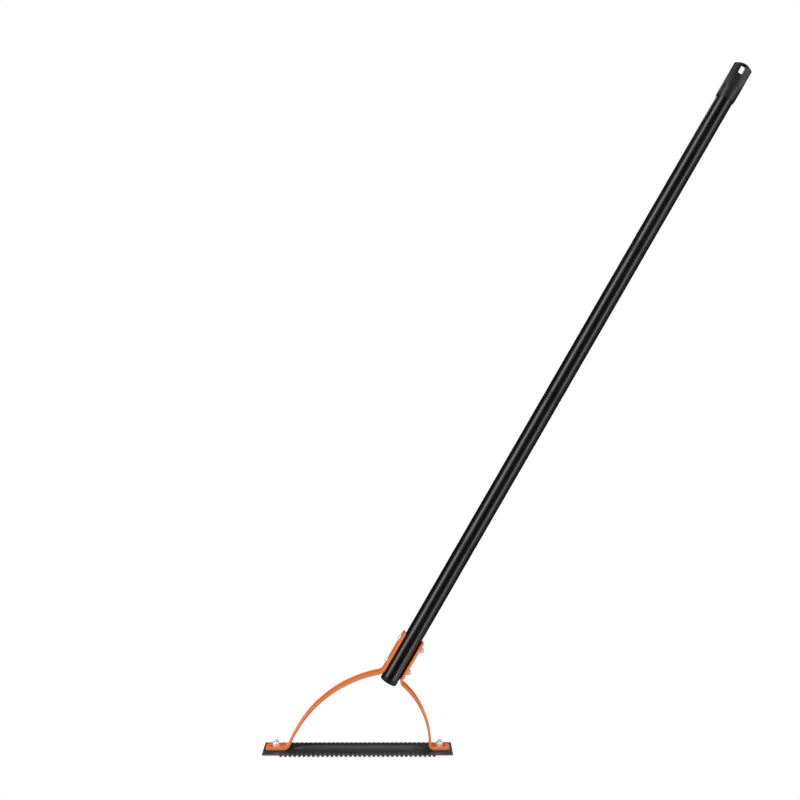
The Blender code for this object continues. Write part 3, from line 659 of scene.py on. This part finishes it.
def pipe(bore, radius, start, end, rounding, sides=96):
    """A pipe about Z as a closed loop of rows, from half way up its bore."""
    middle = (start + end) / 2
    profile = fillet([
        (bore, middle), (bore, start), (radius, start), (radius, end), (bore, end),
        (bore, middle)], rounding)
    return turned(profile[:-1], sides)


def washer(radius, thickness, hole):
    """A flat ring with rolled edges."""
    return pipe(hole, radius, 0, thickness, 0.22 * MM, 64)


def fasteners(sizes, host, bearing, label, under, seat, carry, zinc):
    """A screw with its washer and nut, stacked about Z and then carried to their place.

    The screw's head bears on the level under, and the washer lies on the level seat.
    """
    nut_at = seat + sizes["washer"]["thickness"] + GAP
    bolt, recess_shade = screw(**sizes["screw"], low=under, high=nut_at + sizes["end_above_seat"])
    ring_points = lifted(washer(**sizes["washer"]), z=seat)
    nut_points = lifted(nut(**sizes["nut"]), z=nut_at)
    for name, kind, points, is_loop, masks in (
            (f"{label}_{host}_screw", "bolt", bolt, False, {"recess_shade": recess_shade}),
            (f"{label}_{bearing}_washer", "washer", ring_points, True, None),
            (f"{label}_{bearing}_nut", "nut", nut_points, True, None)):
        piece(name, [sheet(carry(points), is_loop, True)], zinc,
              [f"{host}_{kind}_{label}"], masks)


def blade_fasteners(side, label, zinc):
    """The screw up through the blade and one tab, its washer and nut on the tab."""
    fasteners(BLADE_SET, "blade", "tab", label, BLADE_UNDER - GAP,
              TAB_Z + STRAP_HALF_THICKNESS + GAP,
              lambda points: lifted(points, side * BLADE_BOLT_X), zinc)


def clamp_fasteners(along, label, zinc):
    """The screw through both straps and the tube, its washer and nut on the right strap."""
    face = STRAP_OFFSET + STRAP_HALF_THICKNESS + GAP
    fasteners(CLAMP_SET, "clamp", "strap", label, -face, face,
              lambda points: across_handle(points, along), zinc)


# Handle
def tube(name, start, end, material):
    """A thin tube between two stations, with its cut ends slightly rounded."""
    points = on_handle(pipe(TUBE_BORE_RADIUS, TUBE_RADIUS, start, end, 0.25 * MM))
    return piece(name + "_skin", [sheet(points, True, True)], material, [name])


def end_plug(material):
    """The plug in the tube's lower end: core, skirt and rounded rim.

    The rim is lifted to c - sqrt(c^2 - o^2), for a corner c and a point o outside its centre.
    """
    profile = fillet([
        (0, 22.5 * MM), (12.4 * MM, 22.5 * MM), (CORE_RADIUS, 21.7 * MM),
        (CORE_RADIUS, PLUG_SKIRT), (TUBE_RADIUS, PLUG_SKIRT), (TUBE_RADIUS, 0),
        (11.0 * MM, 0), (10.6 * MM, 0.35 * MM), (0, 0.35 * MM)], 0.3 * MM)
    radius, height = profile.T
    corner = 1.7 * MM
    outside = np.maximum(radius - TUBE_RADIUS + corner, 0)
    lift = corner - np.sqrt(np.maximum(corner ** 2 - outside ** 2, 0))
    height = np.where(height < 2 * MM, np.maximum(height, lift), height)
    points = on_handle(ring(radius, height, 96))
    return piece("lower_plug", [sheet(points, wrap_columns=True)], material,
                 ["end_plug"])


def collar(number, along, material):
    """A male insert, turned about the handle: spigot, collar with three grooves, and core."""
    ring_at = (np.array([1, 0, -1]) * COLLAR_HALF / 2)[:, None]
    groove = np.array([[0.8, 0], [0.25, -0.45], [-0.25, -0.45], [-0.8, 0]]) * MM
    rings = np.stack([
        TUBE_RADIUS + groove[:, 1] + 0 * ring_at, ring_at + groove[:, 0]], axis=-1)
    profile = np.vstack([
        [[0, SPIGOT_END], [SPIGOT_RADIUS - 1 * MM, SPIGOT_END],
         [SPIGOT_RADIUS, SPIGOT_END - 1 * MM], [SPIGOT_RADIUS, COLLAR_HALF],
         [TUBE_RADIUS, COLLAR_HALF]],
        rings.reshape(-1, 2),
        [[TUBE_RADIUS, -COLLAR_HALF], [CORE_RADIUS, -COLLAR_HALF], [CORE_RADIUS, -CORE_END],
         [0, -CORE_END]]])
    points = on_handle(turned(fillet(profile, 0.22 * MM)), along)
    return piece(f"joint_{number}_ringed_collar", [sheet(points, wrap_columns=True)], material,
                 [f"joint_{number}_collar"])


def cap_profile():
    """The cap before it is flattened: radius, height, and where they lie inside the bore.

    From the top: a dome of radius (R^2 + d^2) / 2d, a straight wall with closer rows at the
    slot's ends, the tapered lip, and up the bore to its floor.
    """
    shoulder = CAP_LENGTH - CAP_DOME
    seam = shoulder - 1.2 * MM
    sphere = (CAP_RADIUS ** 2 + CAP_DOME ** 2) / (2 * CAP_DOME)
    turn = np.linspace(0, math.asin(CAP_RADIUS / sphere), 26)[:-1]
    dome = np.stack([
        sphere * np.sin(turn), CAP_LENGTH - sphere * (1 - np.cos(turn))], axis=-1)
    body = fillet([
        dome[-1], (CAP_RADIUS, shoulder), (CAP_RADIUS, 7 * MM),
        (15.7 * MM, 3.6 * MM), (15.0 * MM, 0.5 * MM), (14.75 * MM, 0), (CAP_BORE_RADIUS, 0),
        (CAP_BORE_RADIUS, CAP_BORE_DEPTH), (0, CAP_BORE_DEPTH)], 0.7 * MM, 6)
    from_end = (1 - np.cos(np.linspace(0, math.pi / 2, 12))) ** 1.5 * 3 * MM
    slot_low = HANG_SLOT_MIDDLE - HANG_SLOT_HALF_LENGTH + from_end
    slot_high = HANG_SLOT_MIDDLE + HANG_SLOT_HALF_LENGTH - from_end
    wall = np.unique(np.concatenate([
        np.linspace(9.5 * MM, shoulder - 1.5 * MM, 108), slot_low, slot_high]))
    wall = wall[wall < seam][::-1]
    straight = np.stack([0 * wall + CAP_RADIUS, wall], axis=-1)
    split = int(np.argmin(body[:, 1] > seam))
    upper = np.vstack([dome[:-1], body[:split]])
    extra = slot_high[slot_high > upper[:, 1].min()]
    added = np.stack([np.interp(extra, upper[::-1, 1], upper[::-1, 0]), extra], axis=-1)
    upper = np.vstack([upper, added])
    upper = upper[np.argsort(-upper[:, 1], kind="stable")]
    profile = np.vstack([upper, straight, body[split:]])
    below = np.arange(len(profile)) >= len(upper) + len(straight)
    inside = below & (profile[:, 0] < CAP_BORE_RADIUS + 0.1 * MM)
    return profile[:, :1], profile[:, 1:], inside[:, None]


def hang_cap(material):
    """A sleeve with a domed top, flattened by two cheeks and pierced by a slot.

    A section at height s is the circle of the sleeve, X^2 + Y^2 = R(s)^2, with |Y| held
    under the cheek c(s) = web + (R - web)(0.4 t + 1.8 t^2 - 1.2 t^3), t running down from
    the web, less the cheek's crown C - sqrt(C^2 - X^2), and over the thin lip at its sides.
    The slot is a rounded oblong: its half width is w (1 - u^5)^0.2, u from its middle.
    """
    radius, height, inside = cap_profile()
    t = np.clip((CHEEK_TOP - height) / CHEEK_RUN, 0, 1)
    rise = 0.4 * t + 1.8 * t ** 2 - 1.2 * t ** 3
    cheek = WEB_HALF + (CAP_RADIUS * 1.05 - WEB_HALF) * rise
    u = np.clip(np.abs(height - HANG_SLOT_MIDDLE) / HANG_SLOT_HALF_LENGTH, 0, 1)
    opening = HANG_SLOT_HALF_WIDTH * (1 - u ** 5) ** 0.2
    opening = np.where(inside | (opening < NO_OPENING), 0, opening)
    inner = np.minimum(CAP_SLOT_ROUND, opening * 0.5)
    around = np.linspace(0, math.pi / 2, 30)
    x = opening + inner + (radius - opening - inner) * np.sin(around)
    y = np.sqrt(np.maximum(radius ** 2 - x ** 2, 0))
    crown = CHEEK_CROWN - np.sqrt(CHEEK_CROWN ** 2 - x ** 2)
    pressed = -soft_min(crown - cheek, -CAP_LIP + 0 * x, 0.8 * MM)
    y = np.maximum(np.where(inside, y, soft_min(y, pressed, 2.6 * MM)), 0)
    turn = np.linspace(0, math.pi / 2, 5)[:-1]
    across = np.hstack([opening + inner * (1 - np.cos(turn)), x])
    up = np.hstack([y[:, :1] - inner * (1 - np.sin(turn)), y])
    across = np.hstack([across, across[:, ::-1]])
    up = np.hstack([up, -up[:, ::-1]])

    def place(across, up):
        """Stand each section at its own height on the handle."""
        points = np.stack([across, up, height + 0 * across], axis=-1)
        return on_handle(points, HANDLE_LENGTH)

    sheets = split_sheets(place, across, up, opening)
    return piece("slotted_cap", sheets, material, ["hang_cap"])


# Shader effects, each a group that puts out one mask or height
def feed(tree, socket, value):
    """Link a socket to another one, or give it a plain value."""
    if isinstance(value, bpy.types.NodeSocket):
        tree.links.new(value, socket)
    else:
        socket.default_value = value


def feed_all(tree, node, values):
    """Feed a node's sockets by their names, with _ for a space."""
    for label, value in values.items():
        feed(tree, node.inputs[label.replace("_", " ")], value)


def add_node(tree, kind, settings=None, **values):
    """Make a node, set its properties, then give its sockets numbers or links."""
    node = tree.nodes.new(kind)
    for key, value in (settings or {}).items():
        setattr(node, key, value)
    feed_all(tree, node, values)
    return node


def math_node(tree, operation, *values, clamp=False):
    """The result of a Math node on sockets or numbers."""
    node = add_node(tree, "ShaderNodeMath", {"operation": operation, "use_clamp": clamp})
    for socket, value in zip(node.inputs, values):
        feed(tree, socket, value)
    return node.outputs[0]


def weighed_sum(tree, first, share, second):
    """share x first + (1 - share) x second."""
    return math_node(tree, "ADD", math_node(tree, "MULTIPLY", first, share),
                     math_node(tree, "MULTIPLY", second, 1 - share))


def remap(tree, value, low, high, to_low=0.0, to_high=1.0):
    """Carry the range from low to high over to another, and hold its ends."""
    node = add_node(tree, "ShaderNodeMapRange", Value=value, From_Min=low, From_Max=high,
                    To_Min=to_low, To_Max=to_high)
    return node.outputs["Result"]


def noise(tree, vector, scale, detail=3.0, roughness=0.5):
    """The value of a noise, from 0 to 1 round a middle of 0.5."""
    node = add_node(tree, "ShaderNodeTexNoise", Vector=vector, Scale=scale, Detail=detail,
                    Roughness=roughness)
    return node.outputs["Fac"]


def new_group(name, output, **inputs):
    """A group that reads a Vector and the named inputs and puts out one value."""
    group = bpy.data.node_groups.new(name, "ShaderNodeTree")
    group.interface.new_socket("Vector", in_out="INPUT", socket_type="NodeSocketVector")
    for label, value in inputs.items():
        kind = "NodeSocketFloat" if isinstance(value, float) else "NodeSocketVector"
        socket = group.interface.new_socket(label, in_out="INPUT", socket_type=kind)
        socket.default_value = value
    group.interface.new_socket(output, in_out="OUTPUT", socket_type="NodeSocketFloat")
    given = group.nodes.new("NodeGroupInput").outputs
    return group, given, group.nodes.new("NodeGroupOutput").inputs[output]


def mottle_group():
    """Slow blotches with a finer break-up: 0.65 broad noise + 0.35 fine noise."""
    group, given, mask = new_group("coat_mottle", "Mask", Scale=20.0)
    broad = noise(group, given["Vector"], given["Scale"], 2.0)
    finer = math_node(group, "MULTIPLY", given["Scale"], 7.0)
    fine = noise(group, given["Vector"], finer, 4.0, 0.6)
    total = weighed_sum(group, broad, 0.65, fine)
    group.links.new(remap(group, total, 0.32, 0.68), mask)
    return group


def peel_group():
    """The rounded bumps of a baked or moulded skin: Voronoi cells blended with noise."""
    group, given, height = new_group("skin_peel", "Height", Scale=500.0)
    cells = add_node(group, "ShaderNodeTexVoronoi", {"feature": "SMOOTH_F1"},
                     Vector=given["Vector"], Scale=given["Scale"])
    fine = noise(group, given["Vector"], given["Scale"], 3.0, 0.6)
    group.links.new(weighed_sum(group, cells.outputs["Distance"], 0.5, fine), height)
    return group


def scratch_group():
    """Thin streaks along one axis, where a stretched noise crosses its middle value."""
    group, given, mask = new_group(
        "handling_scratches", "Mask", Scale=30.0, Stretch=(1.0, 1.0, 0.05))
    drawn = add_node(group, "ShaderNodeVectorMath", {"operation": "MULTIPLY"})
    feed(group, drawn.inputs[0], given["Vector"])
    feed(group, drawn.inputs[1], given["Stretch"])
    lines = noise(group, drawn.outputs[0], given["Scale"], 6.0, 0.7)
    off = math_node(group, "ABSOLUTE", math_node(group, "SUBTRACT", lines, 0.5))
    thin = remap(group, off, 0.0, 0.012, 1.0, 0.0)
    patches = remap(group, noise(group, given["Vector"], 9.0, 2.0), 0.5, 0.62)
    group.links.new(math_node(group, "MULTIPLY", thin, patches), mask)
    return group


def wear_group():
    """Edges that stick out, broken up by noise."""
    group, given, mask = new_group("edge_wear", "Mask", Reach=0.56)
    pointed = group.nodes.new("ShaderNodeNewGeometry").outputs["Pointiness"]
    edges = remap(group, pointed, given["Reach"], 0.66)
    chips = remap(group, noise(group, given["Vector"], 260.0, 3.0), 0.42, 0.6)
    group.links.new(math_node(group, "MULTIPLY", edges, chips, clamp=True), mask)
    return group


GROUPS = {
    "mottle": mottle_group(), "peel": peel_group(),
    "scratch": scratch_group(), "wear": wear_group()}


def use_group(tree, name, **values):
    """Place one of the groups with its own values, and give back what it puts out."""
    node = tree.nodes.new("ShaderNodeGroup")
    node.node_tree = GROUPS[name]
    feed_all(tree, node, values)
    return node.outputs[0]


def read_mask(tree, name):
    """The mask of that name, kept at the mesh's own points."""
    return add_node(tree, "ShaderNodeAttribute", {"attribute_name": name}).outputs["Fac"]


def mix_colour(tree, factor, first, second):
    """The mix of two colours by a mask, each a socket or three numbers."""
    node = add_node(tree, "ShaderNodeMix", {"data_type": "RGBA"}, Factor=factor)
    for socket, value in zip(node.inputs[6:8], (first, second)):
        feed(tree, socket, (*value, 1.0) if isinstance(value, tuple) else value)
    return node.outputs[2]


def lay_over(tree, below, mask, share, top):
    """Lay a colour over another by a share of a mask, a number or a socket."""
    return mix_colour(tree, math_node(tree, "MULTIPLY", mask, share), below, top)


# Materials
def start_material(name, turn=0.0):
    """A material, its Principled shader, and Object coordinates turned about Y."""
    material = bpy.data.materials.new(name)
    material.use_nodes = True
    tree = material.node_tree
    shader = tree.nodes["Principled BSDF"]
    coordinate = tree.nodes.new("ShaderNodeTexCoord").outputs["Object"]
    mapping = add_node(tree, "ShaderNodeMapping", Vector=coordinate, Rotation=(0.0, turn, 0.0))
    return material, tree, shader, mapping.outputs["Vector"]


def dress(tree, shader, place, colour, roughness, grain, strength, depth=0.2 * MM):
    """Link a colour, a roughness and the fine relief of a skin to the shader."""
    skin = use_group(tree, "peel", Vector=place, Scale=grain)
    bump = add_node(tree, "ShaderNodeBump", Height=skin, Strength=strength, Distance=depth)
    tree.links.new(colour, shader.inputs["Base Color"])
    tree.links.new(roughness, shader.inputs["Roughness"])
    tree.links.new(bump.outputs["Normal"], shader.inputs["Normal"])


def arm_coat():
    """Orange powder coat: warm blotches, fine peel, paler rubbed edges."""
    material, tree, shader, place = start_material("orange_powder_coat")
    feed_all(tree, shader, {"Metallic": 0.0, "Coat Weight": 0.18, "Coat Roughness": 0.22})
    mottle = use_group(tree, "mottle", Vector=place, Scale=28.0)
    wear = use_group(tree, "wear", Vector=place, Reach=0.57)
    colour = mix_colour(tree, mottle, ORANGE_DEEP, ORANGE_BRIGHT)
    colour = lay_over(tree, colour, wear, 0.35, ORANGE_RUBBED)
    rough = remap(tree, mottle, 0, 1, 0.36, 0.46)
    dress(tree, shader, place, colour, rough, 620.0, 0.16)
    return material


def tube_coat():
    """Satin black coat on drawn tube: near black, fine peel, a few dull rubs lengthways."""
    material, tree, shader, place = start_material("satin_black_coat", -LEAN)
    feed_all(tree, shader, {"Metallic": 0.0, "Specular IOR Level": 0.6})
    mottle = use_group(tree, "mottle", Vector=place, Scale=16.0)
    scratch = use_group(tree, "scratch", Vector=place, Scale=120.0, Stretch=(1.0, 1.0, 0.03))
    colour = mix_colour(tree, mottle, COAT_DEEP, COAT_WORN)
    colour = lay_over(tree, colour, scratch, 0.4, COAT_SCRATCHED)
    rough = math_node(tree, "ADD", remap(tree, mottle, 0, 1, 0.28, 0.32),
                      math_node(tree, "MULTIPLY", scratch, 0.12))
    dress(tree, shader, place, colour, rough, 700.0, 0.015)
    return material


def moulded(name, dark, light, gloss, rough, grain, bump):
    """Black moulded plastic: spark-eroded grain, faint bloom, paler rubbed edges."""
    material, tree, shader, place = start_material(name, -LEAN)
    feed_all(tree, shader, {"Metallic": 0.0, "Specular IOR Level": gloss})
    mottle = use_group(tree, "mottle", Vector=place, Scale=45.0)
    wear = use_group(tree, "wear", Vector=place, Reach=0.55)
    colour = mix_colour(tree, mottle, (dark, dark, dark), (light, light, light))
    rubbed = 2.6 * light
    colour = lay_over(tree, colour, wear, 0.5, (rubbed, rubbed, rubbed))
    dress(tree, shader, place, colour, remap(tree, mottle, 0, 1, rough, rough + 0.07),
          grain, bump)
    return material


def blade_finish():
    """Dark hardened strip: ground flutes, a painted highlight along the rim, rubbed shoulders
    with a painted highlight, rolling marks.
    """
    material, tree, shader, place = start_material("dark_blade_steel")
    feed_all(tree, shader, {"Specular IOR Level": 0.47})
    mottle = use_group(tree, "mottle", Vector=place, Scale=34.0)
    rolled = use_group(tree, "scratch", Vector=place, Scale=260.0, Stretch=(0.03, 1.0, 1.0))
    colour = mix_colour(tree, mottle, STEEL_DEEP, STEEL_WORN)
    colour = lay_over(tree, colour, rolled, 0.3, STEEL_SCRATCHED)
    patches = remap(tree, mottle, 0, 1, 0.35, 0.75)
    # rubbed shoulders with a painted highlight along the groove's creases
    colour = lay_over(tree, colour, read_mask(tree, "shoulder"), patches, STEEL_RUB_AND_HIGHLIGHT)
    # the ground mask: flutes ground bare, plus the rim's painted highlight
    grind = remap(tree, noise(tree, place, 900.0, 2.0), 0.3, 0.7, 0.55, 0.9)
    bare = math_node(tree, "MULTIPLY", read_mask(tree, "ground"), grind)
    colour = mix_colour(tree, bare, colour, STEEL_GROUND)
    # painted highlight: the rim lightened towards pale steel
    colour = lay_over(tree, colour, read_mask(tree, "rim"), 0.5, STEEL_RIM_HIGHLIGHT)
    tree.links.new(remap(tree, bare, 0, 1, 0.0, 0.55), shader.inputs["Metallic"])
    rough = math_node(tree, "SUBTRACT", remap(tree, mottle, 0, 1, 0.42, 0.50),
                      math_node(tree, "MULTIPLY", bare, 0.14))
    dress(tree, shader, place, colour, rough, 800.0, 0.2)
    return material


def zinc_finish():
    """Bright zinc plate: cloudy, with paler edges and painted shade in sockets and thread roots.
    """
    material, tree, shader, place = start_material("bright_zinc_plate")
    feed_all(tree, shader, {"Metallic": 0.6})
    mottle = use_group(tree, "mottle", Vector=place, Scale=140.0)
    wear = use_group(tree, "wear", Vector=place, Reach=0.53)
    colour = mix_colour(tree, mottle, ZINC_DULL, ZINC_CLEAN)
    colour = lay_over(tree, colour, wear, 0.6, ZINC_RUBBED)
    # painted shade in sockets and thread roots
    colour = lay_over(tree, colour, read_mask(tree, "recess_shade"), 0.9, RECESS_SHADE)
    rough = remap(tree, mottle, 0, 1, 0.42, 0.54)
    dress(tree, shader, place, colour, rough, 1500.0, 0.15, 0.1 * MM)
    return material


# The tool, from the blade up
orange = arm_coat()
black = tube_coat()
joint_plastic = moulded("matte_joint_plastic", 0.002, 0.004, 0.52, 0.27, 900.0, 0.03)
plug_plastic = moulded("dull_plug_plastic", 0.002, 0.004, 0.30, 0.42, 800.0, 0.06)
cap_plastic = moulded("matte_cap_plastic", 0.004, 0.006, 0.62, 0.43, 800.0, 0.08)
dark_steel = blade_finish()
zinc = zinc_finish()

blade(dark_steel)
strap("left_arm", -1, *LEFT_BOW, orange)
strap("right_arm", 1, *RIGHT_BOW, orange)
for side, label in ((-1, "left"), (1, "right")):
    blade_fasteners(side, label, zinc)
for along, label in zip(CLAMP_BOLTS, ("lower", "upper")):
    clamp_fasteners(along, label, zinc)
tube_starts = [PLUG_SKIRT + GAP, *(JOINTS + COLLAR_HALF + GAP)]
tube_ends = [*(JOINTS - COLLAR_HALF - GAP), HANDLE_LENGTH + CAP_BORE_DEPTH - GAP]
for name, start, end in zip(TUBES, tube_starts, tube_ends):
    tube(name, start, end, black)
end_plug(plug_plastic)
for number, along in enumerate(JOINTS, start=1):
    collar(number, along, joint_plastic)
    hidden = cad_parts[f"joint_{number}_socket"]
    hidden.data.materials.clear()
    hidden.data.materials.append(joint_plastic)
hang_cap(cap_plastic)


# Stage: floor, black cloth for reflections, lamps, white surround and camera
def surround_factor(tree):
    """1 for rays that show the white surround: camera, glossy and transmission rays."""
    path = tree.nodes.new("ShaderNodeLightPath")
    seen = math_node(tree, "MAXIMUM", path.outputs["Is Camera Ray"],
                     path.outputs["Is Glossy Ray"])
    return math_node(tree, "MAXIMUM", seen, path.outputs["Is Transmission Ray"])


def matt_cloth(name, grey):
    """A material without any gloss, its node tree and its shader."""
    material = bpy.data.materials.new(name)
    material.use_nodes = True
    shader = material.node_tree.nodes["Principled BSDF"]
    feed_all(material.node_tree, shader, {
        "Roughness": 1.0, "Specular IOR Level": 0.0, "Base Color": (grey, grey, grey, 1.0)})
    return material, material.node_tree, shader


def stage_mesh(name, points, faces, material):
    """Put a mesh on the stage, beside the tool."""
    mesh = bpy.data.meshes.new(name)
    mesh.from_pydata(points, [], faces)
    mesh.materials.append(material)
    item = new_object(name, mesh)
    return item


def add_floor():
    """A white sheet that keeps the tool's shadow and otherwise meets the white surround."""
    left, right, front, back = FLOOR_SIDES
    material, tree, shader = matt_cloth("white_floor", 0.35)
    feed_all(tree, shader, {
        "Emission Color": WHITE,
        "Emission Strength": math_node(tree, "MULTIPLY", surround_factor(tree), FLOOR_GLOW)})
    stage_mesh("floor", [
        (left, front, FLOOR_LEVEL), (right, front, FLOOR_LEVEL),
        (right, back, FLOOR_LEVEL), (left, back, FLOOR_LEVEL)], [(0, 1, 2, 3)], material)


def add_world():
    """A surround that shows white and lights the tool less."""
    world = bpy.data.worlds.new("white_surround")
    bpy.context.scene.world = world
    world.use_nodes = True
    tree = world.node_tree
    strength = remap(tree, surround_factor(tree), 0, 1, SURROUND_LIGHT, 1.0)
    feed_all(tree, tree.nodes["Background"], {"Color": WHITE, "Strength": strength})


def add_dark_wall():
    """Black cloth round and under the stage that only reflections see, open at the top."""
    points, quads = sheet(turned(DARK_WALL_PROFILE, 64), wrap_columns=True)
    points = lifted(points, handle_spot(HANDLE_LENGTH / 2, 0)[0])
    material = matt_cloth("black_cloth", 0.01)[0]
    wall = stage_mesh("dark_wall", points.tolist(), quads.tolist(), material)
    for ray in ("camera", "diffuse", "transmission", "volume_scatter", "shadow"):
        setattr(wall, "visible_" + ray, False)


def add_lamp(name, place, target, size, power):
    """A rectangular soft lamp that faces a target, with its long side up the handle."""
    lamp = bpy.data.lights.new(name, "AREA")
    lamp.shape = "RECTANGLE"
    lamp.size, lamp.size_y = size
    lamp.energy = power
    item = new_object(name, lamp)
    item.visible_camera = False
    away = (Vector(place) - Vector(target)).normalized()
    side = UP_HANDLE.cross(away).normalized()
    up = away.cross(side)
    item.matrix_world = Matrix((
        (side.x, up.x, away.x, place[0]), (side.y, up.y, away.y, place[1]),
        (side.z, up.z, away.z, place[2]), (0, 0, 0, 1)))


def add_strip(name, turn, rise, size, power):
    """A strip lamp parallel to the handle, turned about it from the front by an angle."""
    turn = math.radians(turn)
    x, z = handle_spot(HANDLE_LENGTH / 2, 0)
    middle = Vector((x, 0.0, z))
    way = Vector((0, -1, 0)) * math.cos(turn) + ACROSS_HANDLE * math.sin(turn)
    place = middle + way * STRIP_DISTANCE + UP_HANDLE * rise
    add_lamp(name, place, middle + UP_HANDLE * rise, size, power)


def add_camera():
    """The camera of the photograph's whole view."""
    camera = bpy.data.cameras.new("camera")
    camera.sensor_width = 36.0
    camera.lens = LENS
    camera.shift_x, camera.shift_y = SHIFT
    camera.clip_start = 0.01
    item = new_object("camera", camera)
    item.location = CAMERA_PLACE
    item.rotation_euler = [math.radians(angle) for angle in CAMERA_TURN]
    bpy.context.scene.camera = item


add_floor()
add_world()
add_dark_wall()
for strip in STRIPS:
    add_strip(*strip)
for lamp in LAMPS:
    add_lamp(*lamp)
add_camera()
bpy.context.scene.view_settings.view_transform = "Standard"
